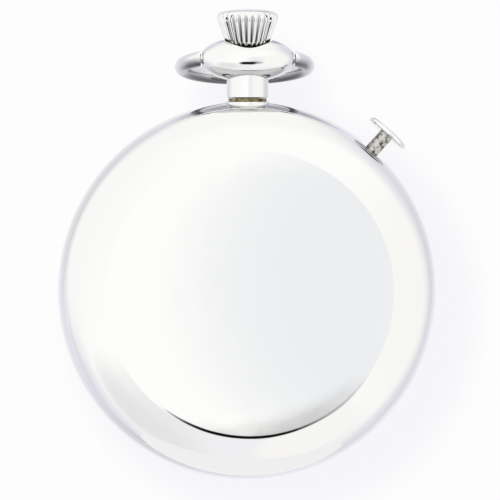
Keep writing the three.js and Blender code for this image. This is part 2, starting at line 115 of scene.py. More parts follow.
# Chrome plating over polished brass: nearly a mirror, with the haze of handling and the
# buffing wheel's faint waves.
def polishedChrome():
    look = dict(colour="#d1d1d1", roughness=0.03, spread=0.05, patchSize=9.0,
                waveSize=5.0, waveHeight=0.02, waveDetail=2.0)
    material, tree, shader = newMaterial("polishedChrome", {
        "Metallic": 1.0, "Base Color": linear(look["colour"])})
    wear(tree, shader, look)
    place = addNode(tree, "ShaderNodeTexCoord")
    swell = addNode(tree, "ShaderNodeTexNoise", links={"Vector": place.outputs["Object"]}, values={
        "Scale": 1 / (look["waveSize"] * mm), "Detail": look["waveDetail"]})
    waves = addNode(tree, "ShaderNodeBump", values={"Distance": look["waveHeight"] * mm},
                    links={"Height": swell.outputs["Fac"]})
    tree.links.new(waves.outputs["Normal"], shader.inputs["Normal"])
    return material


# The same chrome with painted shade: a stored share darkens it towards near black in the
# crown's flutes and under its skirt, and on the underside of the bow.
def grippedChrome():
    look = dict(colour="#d1d1d1", paintedShade="#15130f", roughness=0.04, spread=0.08, patchSize=3.0)
    material, tree, shader = newMaterial("grippedChrome", {"Metallic": 1.0})
    wear(tree, shader, look)
    # the stored share blends the chrome into a near-black painted shade
    packed = addNode(tree, "ShaderNodeAttribute", dict(attribute_name="paintedShade"))
    ramp = addNode(tree, "ShaderNodeValToRGB", links={"Fac": packed.outputs["Fac"]},
                   stops=[(0.0, look["colour"]), (1.0, look["paintedShade"])])
    tree.links.new(ramp.outputs["Color"], shader.inputs["Base Color"])
    return material


# Lapped brass of the wheels: warm and satin, a little duller in patches.
def lappedBrass():
    look = dict(stops=[(0.35, "#cbab6c"), (0.7, "#b18f52")],
                roughness=0.22, spread=0.12, patchSize=1.6)
    material, tree, shader = newMaterial("lappedBrass", {"Metallic": 1.0})
    wear(tree, shader, look)
    return material


# Brass of the pendant's bush, which the air has turned olive brown.
def agedBrass():
    look = dict(stops=[(0.38, "#8f8560"), (0.6, "#37331f")],
                roughness=0.3, spread=0.15, patchSize=0.9)
    material, tree, shader = newMaterial("agedBrass", {"Metallic": 1.0})
    wear(tree, shader, look)
    return material


# Hardened and ground steel of the pinions, levers and stem: grey and satin. Its grit is finer
# than this grain, which is drawn as coarse as it needs to show.
def groundSteel():
    look = dict(colour="#b4b7bd", roughness=0.2, spread=0.1, patchSize=0.15)
    material, tree, shader = newMaterial("groundSteel", {
        "Metallic": 1.0, "Base Color": linear(look["colour"])})
    wear(tree, shader, look)
    return material


# Steel of the pusher's stem: bright where it slides, and browned by moisture in between.
def stainedSteel():
    look = dict(stops=[(0.44, "#b2b1ac"), (0.58, "#3f3829")],
                roughness=0.2, spread=0.15, patchSize=0.7, detail=5.0)
    material, tree, shader = newMaterial("stainedSteel", {"Metallic": 1.0})
    wear(tree, shader, look, look["detail"])
    return material


# Painted shade in the pocket around the pusher, where the deep recess lies in shadow: nearly black,
# and dull.
def oilyDirt():
    look = dict(colour="#12110e", roughness=0.45, spread=0.2, patchSize=0.5)
    material, tree, shader = newMaterial("oilyDirt", {"Base Color": linear(look["colour"])})
    wear(tree, shader, look)
    return material


# Steel heated until its oxide turns blue: a dark blue mirror, purple where it was hotter.
def bluedSteel():
    look = dict(stops=[(0.42, "#26356b"), (0.75, "#3a2f66")],
                roughness=0.12, spread=0.08, patchSize=2.5)
    material, tree, shader = newMaterial("bluedSteel", {"Metallic": 1.0})
    wear(tree, shader, look)
    return material


# Nickel plating on plates and bridges, grained by a matting brush: soft, slightly warm grey.
# Its grain too is drawn as coarse as it needs to show.
def grainedNickel():
    look = dict(colour="#c9c4b8", roughness=0.28, spread=0.16, patchSize=0.12, detail=3.0)
    material, tree, shader = newMaterial("grainedNickel", {
        "Metallic": 1.0, "Base Color": linear(look["colour"])})
    wear(tree, shader, look, look["detail"])
    return material


# Synthetic ruby of the bearing: clear deep red.
def ruby():
    look = dict(colour="#a3173c", roughness=0.03, spread=0.05, patchSize=0.4, clear=0.6)
    material, tree, shader = newMaterial("ruby", {
        "Base Color": linear(look["colour"]), "IOR": 1.76, "Transmission Weight": look["clear"]})
    wear(tree, shader, look)
    return material


# White dial lacquer: smooth, with a soft gloss, and yellowed a little unevenly by age.
def dialLacquer():
    look = dict(stops=[(0.4, "#f1efe8"), (0.8, "#e9e3d2")],
                roughness=0.3, spread=0.12, patchSize=14.0)
    material, tree, shader = newMaterial("dialLacquer", {"IOR": 1.5})
    wear(tree, shader, look)
    return material


# Printed dial ink: black, nearly matt, and slightly uneven from the printing pad.
def padPrintedInk():
    look = dict(colour="#17181b", roughness=0.45, spread=0.15, patchSize=0.3)
    material, tree, shader = newMaterial("padPrintedInk", {"Base Color": linear(look["colour"])})
    wear(tree, shader, look)
    return material


# Mineral glass, ground flat and polished: clear, with the faintest wiping haze.
def watchGlass():
    look = dict(colour="#fbfdfd", roughness=0.0, spread=0.02, patchSize=12.0,
                body=0.1)  # body: the share of the light that is bent, so the dial isn't seen twice
    material, tree, shader = newMaterial("watchGlass", {
        "Base Color": linear(look["colour"]), "IOR": 1.5, "Transmission Weight": 1.0,
        "Alpha": look["body"]})
    wear(tree, shader, look)
    return material


finishes = {
    "polished_chrome": polishedChrome(), "steel": groundSteel(), "blued_steel": bluedSteel(),
    "brass": lappedBrass(), "nickel_plate": grainedNickel(), "ruby": ruby(),
    "dial_enamel": dialLacquer(), "crystal": watchGlass(),
}
pusherSteel = stainedSteel()
ink = padPrintedInk()
shadedChromeFinish = grippedChrome()
oldBrass = agedBrass()
print("materials made")

for part in frame["record"]["subparts"]:
    shown = nodes[part["node"]]
    for place in shown.material_slots:
        place.material = finishes[part["material_slot"]]
print("frame's own parts painted")


# shapes. Outlines are in millimetres: those about the hands' axis are (radius, height out of the
# back), which faces -Y, and those about the crown's axis are (radius, height towards the crown).
def softProfile(corners, steps):
    # a closed outline of (radius, height, rounding): each corner becomes the curve
    # (1-t)^2 a + 2t(1-t) corner + t^2 b, where a and b lie its rounding before and after it,
    # but never past the middle of an edge
    points = []
    for i, (radius, height, rounding) in enumerate(corners):
        corner = np.array([radius, height])
        if rounding == 0:
            points.append(corner)
            continue
        before = np.array(corners[i - 1][:2]) - corner
        after = np.array(corners[(i + 1) % len(corners)][:2]) - corner
        a = corner + before * min(rounding / np.linalg.norm(before), 0.5)
        b = corner + after * min(rounding / np.linalg.norm(after), 0.5)
        t = np.linspace(0, 1, steps)[:, None]
        points.extend((1 - t) ** 2 * a + 2 * t * (1 - t) * corner + t ** 2 * b)
    return np.array(points)


def turned(profile, segments):
    # every profile point goes round the hands' axis: (r cos a, -height, r sin a)
    angle = np.linspace(0, 2 * np.pi, segments, endpoint=False)[:, None]
    radius, height = profile[:, 0], profile[:, 1]
    return np.stack([radius * np.cos(angle), -height + 0 * angle, radius * np.sin(angle)], -1) * mm


def upright(profile, segments=96):
    # the same about the crown's axis: (r cos a, r sin a, height)
    angle = np.linspace(0, 2 * np.pi, segments, endpoint=False)[:, None]
    radius, height = profile[:, 0], profile[:, 1]
    return np.stack([radius * np.cos(angle), radius * np.sin(angle), height + 0 * angle], -1) * mm


def rod(radius, low, high):
    # the profile of a round bar between two heights
    return np.array([[0, low], [radius, low], [radius, high], [0, high]])


def aimed(grid, angle):
    # turns an upright shape from the crown's direction towards +X by an angle
    x, y, z = grid[..., 0], grid[..., 1], grid[..., 2]
    return np.stack([x * math.cos(angle) + z * math.sin(angle), y,
                     -x * math.sin(angle) + z * math.cos(angle)], -1)


def crossways(profile, segments):
    # lays an upright shape along X, the bow's pivot line: (x, y, z) becomes (z, x, y)
    grid = upright(profile, segments)
    return np.stack([grid[..., 2], grid[..., 0], grid[..., 1]], -1)


def gridFaces(rows, columns, wrapColumns):
    # each face joins a grid point to its next ones along both directions; rows always close
    i, j = np.meshgrid(np.arange(rows), np.arange(columns if wrapColumns else columns - 1),
                       indexing="ij")
    nextRow, nextColumn = (i + 1) % rows, (j + 1) % columns
    corners = [i * columns + j, nextRow * columns + j,
               nextRow * columns + nextColumn, i * columns + nextColumn]
    return np.stack(corners, -1).reshape(-1, 4)


def volume(points, faces):
    # a sixth of the triple products of every face's two triangles; negative if it faces inwards
    a, b, c, d = (points[faces[:, k]] for k in range(4))
    return (np.einsum("ij,ij->i", a, np.cross(b, c))
            + np.einsum("ij,ij->i", a, np.cross(c, d))).sum() / 6


def plainMesh(name, points, faces):
    # a mesh from arrays of points in metres and of each face's corners
    mesh = bpy.data.meshes.new(name)
    mesh.from_pydata(points.tolist(), [], faces.tolist())
    return mesh


def makeMesh(name, grids):
    # grids are closed along their rows, and along their columns unless those start at a pole
    points, faces, offset = [], [], 0
    for grid in grids:
        flat = grid.reshape(-1, 3)
        poles = np.ptp(grid[:, 0], axis=0).max() < 1e-9
        quads = gridFaces(grid.shape[0], grid.shape[1], not poles)
        if volume(flat, quads) < 0:
            quads = quads[:, ::-1]
        points.append(flat)
        faces.append(quads + offset)
        offset += len(flat)
    return plainMesh(name, np.concatenate(points), np.concatenate(faces))


def latheMesh(name, piece):
    # a piece's rounded outline, carried round the hands' axis
    profile = softProfile(piece["outline"], piece["steps"])
    return makeMesh(name, [turned(profile, piece["segments"])])


def merged(name, meshes):
    # one mesh that holds all of these
    work = bmesh.new()
    for mesh in meshes:
        work.from_mesh(mesh)
    result = bpy.data.meshes.new(name)
    work.to_mesh(result)
    work.free()
    return result


def pointsOf(mesh):
    # a mesh's points, in millimetres
    flat = np.empty(len(mesh.vertices) * 3)
    mesh.vertices.foreach_get("co", flat)
    return flat.reshape(-1, 3) / mm


def weld(mesh, distance=1e-7):
    # joins corners that share a place, such as those of a pole
    work = bmesh.new()
    work.from_mesh(mesh)
    bmesh.ops.remove_doubles(work, verts=work.verts, dist=distance)
    work.to_mesh(mesh)
    work.free()


def carve(mesh, cutters):
    # cuts closed meshes out of a closed mesh and returns the result as a plain mesh
    weld(mesh)
    base = bpy.data.objects.new("blank", mesh)
    bpy.context.collection.objects.link(base)
    tools = []
    for cutter in cutters:
        weld(cutter)
        tool = bpy.data.objects.new("cutter", cutter)
        bpy.context.collection.objects.link(tool)
        step = base.modifiers.new("cut", "BOOLEAN")
        step.operation, step.object, step.solver = "DIFFERENCE", tool, "EXACT"
        tools.append(tool)
    view = bpy.context.evaluated_depsgraph_get()
    carved = bpy.data.meshes.new_from_object(base.evaluated_get(view))
    for spent in [base, *tools]:
        bpy.data.objects.remove(spent)
    return carved


def addPiece(name, mesh, material, body, replaced=(), crease=35):
    # a piece that rides on a body; edges sharper than its crease in degrees stay sharp
    weld(mesh)
    mesh.materials.clear()
    mesh.materials.append(material)
    mesh.polygons.foreach_set("use_smooth", np.ones(len(mesh.polygons), dtype=bool))
    mesh.set_sharp_from_angle(angle=math.radians(crease))
    piece = bpy.data.objects.new(name, mesh)
    bpy.context.collection.objects.link(piece)
    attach(piece, body)
    if replaced:
        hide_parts(*replaced)
    return piece


# the band: a rounded hoop with a step inside for the back and another for the bezel
band = dict(
    segments=512, steps=10, crease=28,
    outline=[(25.35, -4.3, 0.12), (25.78, -2.7, 1.5), (26.0, -0.6, 2), (25.9, 1.2, 2),
             (25.5, 2.75, 1.4), (25.12, 3.7, 0.1), (23.9, 3.7, 0.05), (23.9, 2.2, 0),
             (22.9, 2.2, 0), (22.9, -3.1, 0), (23.9, -3.1, 0), (23.9, -4.3, 0.05)],
    cutFrom=22, bushHole=2.68, bushCut=27, sleeveHole=1.76, sleeveCut=28,
    pusherAngle=math.radians(41.7), recess=2.8, recessFloor=24.9, recessSlack=0.1)
# the opening lip: where a blade lifts the back, an angle and half its width in millimetres
lip = dict(angle=math.radians(-42), half=2.0, radius=25, steps=12,
           section=[[24.7, 3.38], [26.2, 3.38], [26.2, 4.2], [24.7, 4.2]])


def lipCutter():
    # the section goes round the hands' axis over the lip's angle, and closes in a point at both
    # ends: (r cos a, -height, r sin a)
    half = lip["half"] / lip["radius"]
    angle = np.linspace(lip["angle"] - half, lip["angle"] + half, lip["steps"])[:, None]
    radius, height = np.array(lip["section"]).T
    walls = np.stack([radius * np.cos(angle), -height + 0 * angle, radius * np.sin(angle)], -1)
    ends = walls[[0, -1]].mean(1, keepdims=True) + 0 * walls[[0, -1]]
    return np.concatenate([ends[:1], walls, ends[1:]]) * mm


def bandMesh():
    # the turned hoop, less round holes for the pendant's bush and the pusher, and the lip
    bushHole = upright(rod(band["bushHole"], band["cutFrom"], band["bushCut"]))
    recess = upright(rod(band["recess"], band["recessFloor"], band["sleeveCut"]))
    sleeveHole = upright(rod(band["sleeveHole"], band["cutFrom"], band["sleeveCut"]))
    return carve(latheMesh("band", band), [
        makeMesh("bush", [bushHole]), makeMesh("recess", [aimed(recess, band["pusherAngle"])]),
        makeMesh("sleeveHole", [aimed(sleeveHole, band["pusherAngle"])]),
        makeMesh("lip", [lipCutter()])])


def dirtyPocket(piece, material):
    # faces whose middle lies nearer to the pusher's axis than the recess's wall take the
    # second material, a painted shade
    piece.data.materials.append(material)
    middles = np.empty(len(piece.data.polygons) * 3)
    piece.data.polygons.foreach_get("center", middles)
    middles = middles.reshape(-1, 3) / mm
    axis = np.array([math.sin(band["pusherAngle"]), 0, math.cos(band["pusherAngle"])])
    along = middles @ axis
    away = np.linalg.norm(middles - along[:, None] * axis, axis=1)
    inside = (away < band["recess"]) & (along > band["recessFloor"] - band["recessSlack"])
    piece.data.polygons.foreach_set("material_index", inside.astype(np.int32))


bandShell = addPiece("bandShell", bandMesh(), finishes["polished_chrome"], "case",
                     ["case_middle"], band["crease"])
# paints shade into the pusher's recess
dirtyPocket(bandShell, oilyDirt())

# the boss: a low collar on the band, around the foot of the pendant's bush
boss = dict(steps=5, outline=[(3.05, 24.9, 0), (3.05, 25.95, 0.12), (2.66, 25.95, 0.05),
                              (2.66, 24.9, 0)])
addPiece("neckBoss", makeMesh("neckBoss", [upright(softProfile(boss["outline"], boss["steps"]))]),
         finishes["polished_chrome"], "case", ())
print("band made")

# the back: a shallow mirror dome that ends at a crease, then a round shoulder down to the seam
back = dict(
    segments=512, steps=14, crease=28,
    outline=[(0, 7.92, 0), (6, 7.87, 4), (12, 7.69, 4), (16.6, 7.43, 3), (19.55, 7.12, 0.3),
             (21.65, 6.42, 0.9), (23.3, 5.7, 0.9), (24.45, 4.74, 0.8), (25.02, 4.02, 0.35),
             (25.08, 3.76, 0.05), (23.8, 3.76, 0), (23.8, 2.75, 0.05), (23, 2.75, 0.05),
             (23, 4, 0.2), (21, 5.9, 1), (10, 6.95, 3), (0, 7.1, 0)])
addPiece("backShell", latheMesh("back", back), finishes["polished_chrome"], "back_cover",
         ["back_cover"], back["crease"])

# the bezel: the dial side's chrome hoop, with a step inside that holds the glass
bezel = dict(
    segments=384, steps=10, crease=28,
    outline=[(23, -3.4, 0), (23.75, -3.4, 0.1), (23.75, -4.37, 0), (25.32, -4.37, 0.08),
             (25.22, -5.0, 0.4), (24.6, -6.0, 0.8), (23.5, -6.85, 0.8), (22.5, -7.2, 0.4),
             (22, -7.02, 0.12), (22, -6.6, 0), (22.6, -6.6, 0), (22.6, -5.6, 0), (23, -5.4, 0)])
addPiece("bezelShell", latheMesh("bezel", bezel), finishes["polished_chrome"], "case",
         ["bezel"], bezel["crease"])

# the glass: a flat pane with a short skirt, whose flange the bezel holds
glass = dict(
    segments=256, steps=6, crease=28,
    outline=[(0, -8, 0), (21.3, -8, 0.3), (21.83, -7.6, 0.25), (21.83, -6.5, 0), (22.45, -6.5, 0),
             (22.45, -5.7, 0), (21.2, -5.7, 0), (21.2, -7, 0.2), (0, -7, 0)])
addPiece("glassPane", latheMesh("glass", glass), finishes["crystal"], "case",
         ["crystal"], glass["crease"])
print("back, bezel and glass made")

# the pendant: one body from the neck's foot over the ellipsoid head and down into the crown's
# hole. flat is where the head's two sides are cut off for the bow.
pendant = dict(
    neck=2.87, foot=26.45, footRadius=2.72, footHeight=0.12, middle=31.8,
    half=(6.6, 4.05, 3.15), flat=6.2, hole=3.6, holeFloor=32.35, holeTaper=0.06, rimDrop=0.08,
    bore=1.75, pivot=0.75, pivotAt=5.5, pivotHalf=1, pivotSegments=32,
    segments=192, rings=26, crease=30)


def pendantMesh():
    # the head's skin is z = middle +- c sqrt(1 - x^2/a^2 - y^2/b^2), reached by rings that pass
    # from the neck's circle to the head's widest ellipse and on to the hole's circle
    a, b, c = pendant["half"]
    angle = np.linspace(0, 2 * np.pi, pendant["segments"], endpoint=False)[:, None]
    step = np.sin(np.linspace(0, np.pi / 2, pendant["rings"]))

    def ring(radius, share):
        x = ((1 - share) * radius + share * a) * np.cos(angle)
        y = ((1 - share) * radius + share * b) * np.sin(angle)
        return x, y, c * np.sqrt(np.clip(1 - (x / a) ** 2 - (y / b) ** 2, 0, 1))

    lowX, lowY, lowLift = ring(pendant["neck"], step[None, :])
    topX, topY, topLift = ring(pendant["hole"], step[None, ::-1])
    lower = np.stack([lowX, lowY, pendant["middle"] - lowLift], -1)
    upper = np.stack([topX, topY, pendant["middle"] + topLift], -1)[:, 1:]
    holeWall = pendant["hole"] - pendant["holeTaper"]
    neck = [(pendant["bore"], pendant["foot"]), (pendant["footRadius"], pendant["foot"]),
            (pendant["neck"], pendant["foot"] + pendant["footHeight"])]
    inside = [(holeWall, pendant["holeFloor"]), (holeWall, pendant["holeFloor"]),
              (pendant["bore"], pendant["holeFloor"])]
    start, finish = (upright(np.array(part), pendant["segments"]) / mm for part in (neck, inside))
    finish[:, 0, 2] = upper[:, -1, 2] - pendant["rimDrop"]  # the hole's wall follows its rim
    grid = np.concatenate([start, lower, upper, finish], 1)
    grid[..., 0] = np.clip(grid[..., 0], -pendant["flat"], pendant["flat"])
    holes = []
    for side in (-1, 1):
        low, high = (side * pendant["pivotAt"] + end * pendant["pivotHalf"] for end in (-1, 1))
        hole = crossways(rod(pendant["pivot"], low, high), pendant["pivotSegments"])
        holes.append(makeMesh("pivotHole", [hole + np.array([0, 0, pendant["middle"] * mm])]))
    return carve(makeMesh("pendant", [grid * mm]), holes)


addPiece("pendantBody", pendantMesh(), finishes["polished_chrome"], "case",
         ["pendant_neck"], pendant["crease"])

# the bush: a brass tube from the band up to the neck, which shows as a thin ring between the
# boss and the neck's foot
bush = dict(steps=4, outline=[(1.72, 22.95, 0), (2.62, 22.95, 0), (2.62, 26.4, 0.1),
                              (1.72, 26.4, 0)])
addPiece("pendantBushing", makeMesh("bush", [upright(softProfile(bush["outline"], bush["steps"]))]),
         oldBrass, "case", ["pendant_bush"])
print("pendant made")

# the bow: round wire on a circle that the pivot line cuts, with flat ends and a pin at each
bow = dict(
    radius=8.65, centre=5.6, wire=1.05, gap=6.45, foot=1.05, endsBelow=2, overrun=0.12,
    droop=math.radians(9.5), steps=160, segments=40,
    pin=0.6, pinAt=5.8, pinHalf=1, pinSegments=32, crease=40)
# painted shade on the bow: how dark it gets, where it starts and fades under the wire, and how far
# it reaches beside the pendant
bowShade = dict(most=0.85, above=0.1, fade=0.9, reach=9.6, reachFade=1.5, least=0.25)


def bowMesh():
    # the wire's centre runs at angle t on the circle, and its skin is
    # centre + wire (cos s outwards + sin s across)
    end = math.asin(bow["centre"] / bow["radius"]) + bow["overrun"]
    t = np.linspace(-end, np.pi + end, bow["steps"])[None, :]
    s = np.linspace(0, 2 * np.pi, bow["segments"], endpoint=False)[:, None]
    reach = bow["radius"] + bow["wire"] * np.cos(s)
    x, out = reach * np.cos(t), bow["centre"] + reach * np.sin(t)
    across = bow["wire"] * np.sin(s) + 0 * t
    flatEnd = np.sign(x) * np.maximum(np.abs(x), bow["gap"])
    x = np.where(out < bow["endsBelow"], flatEnd, x)
    out = np.maximum(out, -bow["foot"])
    wire = np.stack([x, out, across], -1)
    caps = wire[:, [0, -1]].mean(0, keepdims=True) + 0 * wire[:, [0, -1]]
    shells = [np.concatenate([caps[:, :1], wire, caps[:, 1:]], 1)]
    for side in (-1, 1):
        low, high = (side * bow["pinAt"] + end * bow["pinHalf"] for end in (-1, 1))
        shells.append(crossways(rod(bow["pin"], low, high), bow["pinSegments"]) / mm)
    return makeMesh("bow", [leaned(shell) for shell in shells])


def leaned(shell):
    # lays the bow over to the dial's side, its droop below level, about the pivot line
    x, out, across = shell[..., 0], shell[..., 1], shell[..., 2]
    y = out * math.cos(bow["droop"]) + across * math.sin(bow["droop"])
    z = -out * math.sin(bow["droop"]) + across * math.cos(bow["droop"])
    return np.stack([x, y, z + pendant["middle"]], -1) * mm


def addGrime(piece, share):
    # stores a value from 0 to 1 at every point, which the chrome turns into painted shade
    layer = piece.data.attributes.new("paintedShade", "FLOAT", "POINT")
    layer.data.foreach_set("value", np.clip(share(pointsOf(piece.data)), 0, 1).astype(np.float32))


def bowGrime(points):
    # painted shade and dark reflection: under the wire, and most of all beside the pendant
    level = pendant["middle"] - points[:, 1] * math.tan(bow["droop"])
    under = np.clip((level + bowShade["above"] - points[:, 2]) / bowShade["fade"], 0, 1)
    beside = (bowShade["reach"] - np.abs(points[:, 0])) / bowShade["reachFade"]
    return bowShade["most"] * under * np.clip(beside, bowShade["least"], 1)


bowRing = addPiece("bowRing", bowMesh(), shadedChromeFinish, "bow", ["bow"], bow["crease"])
# paints shade and dark reflection on the underside of the bow
addGrime(bowRing, bowGrime)
print("bow made")

# the crown: a cap that flares upwards, with round flutes and a smooth domed top
crown = dict(
    flutes=26, perFlute=16, depth=0.125, sharpness=1.1, inner=2.4,
    lowEnd=33.6, lowFade=0.5, highEnd=38.1, highFade=1.0, steps=12, crease=50,
    outline=[(0.83, 36.1, 0), (0.83, 33.35, 0.05), (2.75, 33.35, 0.15), (3.1, 34.3, 0.3),
             (3.65, 35.9, 1), (4.12, 37.05, 0.4), (4.17, 37.85, 0.25), (3.75, 38.25, 0.3),
             (2.1, 38.6, 1), (0, 38.7, 0), (0, 36.1, 0)])
# painted shade on the crown: its strength in the flutes, its fade towards the top, and a dark band
# under the skirt
crownShade = dict(gain=1.7, start=0.6, top=37.2, fade=3.2, skirt=34.0, skirtFade=0.3, skirtShare=0.9)


def fluteShare(points):
    # how deep each point in millimetres lies in a flute: 1 - |sin(flutes a / 2)| ^ sharpness,
    # faded out at both ends and left off the inner faces
    angle = np.arctan2(points[..., 1], points[..., 0])
    groove = 1 - np.abs(np.sin(crown["flutes"] / 2 * angle)) ** crown["sharpness"]
    rise = np.clip((points[..., 2] - crown["lowEnd"]) / crown["lowFade"], 0, 1)
    fall = np.clip((crown["highEnd"] - points[..., 2]) / crown["highFade"], 0, 1)
    return groove * (rise * fall) * (np.hypot(points[..., 0], points[..., 1]) > crown["inner"])


def crownMesh():
    # the outline goes round the crown's axis, and its radius shrinks by depth x the flute's share
    profile = softProfile(crown["outline"], crown["steps"])
    grid = upright(profile, crown["flutes"] * crown["perFlute"]) / mm
    grid[..., :2] *= (1 - crown["depth"] * fluteShare(grid))[..., None]
    return makeMesh("crown", [grid * mm])


def crownGrime(points):
    # painted shade: heavy low in the flutes and under the skirt, and thinner towards the top
    low = np.clip((crownShade["top"] - points[:, 2]) / crownShade["fade"], 0, 1)
    skirt = np.clip((crownShade["skirt"] - points[:, 2]) / crownShade["skirtFade"], 0, 1)
    packed = np.clip(fluteShare(points) * crownShade["gain"] - crownShade["start"], 0, 1)
    return packed * low + crownShade["skirtShare"] * skirt


crownCap = addPiece("crownCap", crownMesh(), shadedChromeFinish, "crown", ["crown"],
                    crown["crease"])
# paints shade into the crown's flutes and under its skirt
addGrime(crownCap, crownGrime)
print("crown made")

# the pusher: a thin round head on a stem that slides in a steel sleeve. Each piece has its
# steps and its outline about the pusher's own axis.
pusher = dict(
    head=(8, [(0, 28.67, 0), (3.0, 28.67, 0.08), (3.12, 28.8, 0.08), (3.1, 29.2, 0.15),
              (2.75, 29.42, 0.3), (1.5, 29.52, 0.6), (0, 29.55, 0)]),
    stem=(4, [(0, 19.1, 0), (1, 19.1, 0.1), (1, 28.65, 0), (0, 28.65, 0)]),
    sleeve=(5, [(1.1, 22.7, 0), (1.7, 22.7, 0), (1.7, 25.2, 0.12), (1.1, 25.2, 0.08)]))
for name, part, material, body, node, slot in [
        ("pusherHead", "head", finishes["polished_chrome"], "pusher", "pusher_button",
         "polished_chrome"),
        ("pusherShaft", "stem", pusherSteel, "pusher", "pusher_stem", "steel"),
        ("pusherGuide", "sleeve", finishes["steel"], "case", "pusher_sleeve", "steel")]:
    steps, outline = pusher[part]
    grid = aimed(upright(softProfile(outline, steps)), band["pusherAngle"])
    addPiece(name, makeMesh(name, [grid]), material, body, [node])
print("pusher made")

# the dial's printing: bars and numerals that stand a hair above the lacquer, for the seconds
# round the edge and for the minutes in the counter above the middle
dialPrint = dict(
    low=4.28, high=4.312, curve=4, ringSegments=128,
    # marks round the circle, inner and outer radius, width
    tracks=[(300, 19.75, 20.55, 0.07), (60, 19.3, 20.75, 0.16), (12, 18.75, 20.9, 0.36)],
    line=(20.55, 20.65), numbers=range(5, 65, 5), numberRadius=16.6, numberSize=2.9,
    counterMiddle=8.4,
    counterTracks=[(30, 4.75, 5.3, 0.1), (6, 4.5, 5.3, 0.22)],
    counterLine=(5.3, 5.38), counterNumbers=range(5, 35, 5), counterNumberRadius=3.75,
    counterNumberSize=1.25)


def bars(count, inner, outer, width, middle=0.0):
    # bars towards the middle: each corner is
    # radius x (-sin a, cos a) + half a width x (cos a, sin a)
    a = (np.arange(count) * 2 * np.pi / count)[:, None]
    radius = np.array([inner, outer, outer, inner] * 2)
    side = np.array([-1, -1, 1, 1] * 2) * width / 2
    height = np.repeat([dialPrint["low"], dialPrint["high"]], 4)
    points = np.stack([-radius * np.sin(a) + side * np.cos(a), height + 0 * a,
                       radius * np.cos(a) + side * np.sin(a) + middle], -1)
    box = np.array([[0, 1, 2, 3], [4, 7, 6, 5], [0, 4, 5, 1], [1, 5, 6, 2], [2, 6, 7, 3],
                    [3, 7, 4, 0]])
    faces = (box + 8 * np.arange(count)[:, None, None]).reshape(-1, 4)
    points = points.reshape(-1, 3) * mm
    return plainMesh("bars", points, faces if volume(points, faces) > 0 else faces[:, ::-1])


def ringLine(inner, outer, middle=0.0):
    # a flat hoop: its four corners go round the hands' axis, then up to the circle's middle
    low, high = -dialPrint["low"], -dialPrint["high"]
    section = np.array([[inner, low], [outer, low], [outer, high], [inner, high]])
    return turned(section, dialPrint["ringSegments"]) + np.array([0, 0, middle * mm])


def numeral(words, size, x, z):
    # a numeral as a mesh centred on (x, z); its right is -X and its top +Z, as seen from the
    # dial's side
    curve = bpy.data.curves.new("numeral", "FONT")
    curve.body, curve.size = words, size
    curve.extrude = (dialPrint["high"] - dialPrint["low"]) / 2
    curve.resolution_u = dialPrint["curve"]
    holder = bpy.data.objects.new("numeral", curve)
    bpy.context.collection.objects.link(holder)
    view = bpy.context.evaluated_depsgraph_get()
    mesh = bpy.data.meshes.new_from_object(holder.evaluated_get(view))
    bpy.data.objects.remove(holder)
    points = pointsOf(mesh) * mm
    points -= (points.min(0) + points.max(0)) / 2
    height = (dialPrint["low"] + dialPrint["high"]) / 2
    placed = np.stack([x - points[:, 0], height + points[:, 2], z + points[:, 1]], -1) * mm
    mesh.vertices.foreach_set("co", placed.ravel())
    return mesh


def roundNumerals(values, radius, size, middle=0.0):
    # numerals at equal angles a round a circle: radius x (-sin a, cos a), up by its middle
    meshes = []
    for k, value in enumerate(values, 1):
        a = 2 * math.pi * k / len(values)
        meshes.append(numeral(str(value), size, -radius * math.sin(a),
                              middle + radius * math.cos(a)))
    return meshes


counter = dialPrint["counterMiddle"]
marks = [bars(*track) for track in dialPrint["tracks"]]
marks += [bars(*track, counter) for track in dialPrint["counterTracks"]]
marks.append(makeMesh("lines", [ringLine(*dialPrint["line"]),
                                ringLine(*dialPrint["counterLine"], counter)]))
addPiece("dialScale", merged("dialScale", marks), ink, "case")
numbers = roundNumerals(dialPrint["numbers"], dialPrint["numberRadius"], dialPrint["numberSize"])
numbers += roundNumerals(dialPrint["counterNumbers"], dialPrint["counterNumberRadius"],
                         dialPrint["counterNumberSize"], counter)
addPiece("dialFigures", merged("dialFigures", numbers), ink, "case")
print("dial printed")

# the hands: ridged blades of blued steel on round hubs. An outline is (distance along the
# hand, half its width), and a face is the heights of its base and its ridge.
hands = dict(
    bore=0.4, hubRise=0.04, hubRounding=0.06, hubSteps=4, hubSegments=48, crease=25,
    secondsFace=(5.55, 5.8), secondsHub=1.0,
    secondsOutline=[(-4.5, 0), (-4.5, 0.35), (-4.2, 0.72), (-3.5, 0.72), (-3.1, 0.3), (0, 0.34),
                    (8, 0.25), (19.4, 0.09), (19.6, 0)],
    minuteFace=(4.8, 5.0), minuteHub=0.62,
    minuteOutline=[(-1.2, 0), (-1.2, 0.28), (0, 0.32), (2.4, 0.36), (4.3, 0.07), (4.4, 0)])


def blade(outline, low, high, middle):
    # half widths along the hand, with a flat base and a low ridge along its middle; it ends in
    # a point
    along, half = np.array(outline).T
    side = np.array([-1, -1, 0, 1, 1])[:, None]
    height = np.array([low, (low + high) / 2, high, (low + high) / 2, low])[:, None]
    height = np.where(half == 0, (low + high) / 2, height + 0 * half)
    return np.stack([side * half, height, along + middle + 0 * side], -1) * mm


def hub(radius, low, high, middle):
    # a low tube about the hand's own axis, which stands a little above the ridge
    top = -high - hands["hubRise"]
    profile = softProfile([(hands["bore"], -low, 0), (radius, -low, 0),
                           (radius, top, hands["hubRounding"]), (hands["bore"], top, 0)],
                          hands["hubSteps"])
    return turned(profile, hands["hubSegments"]) + np.array([0, 0, middle * mm])


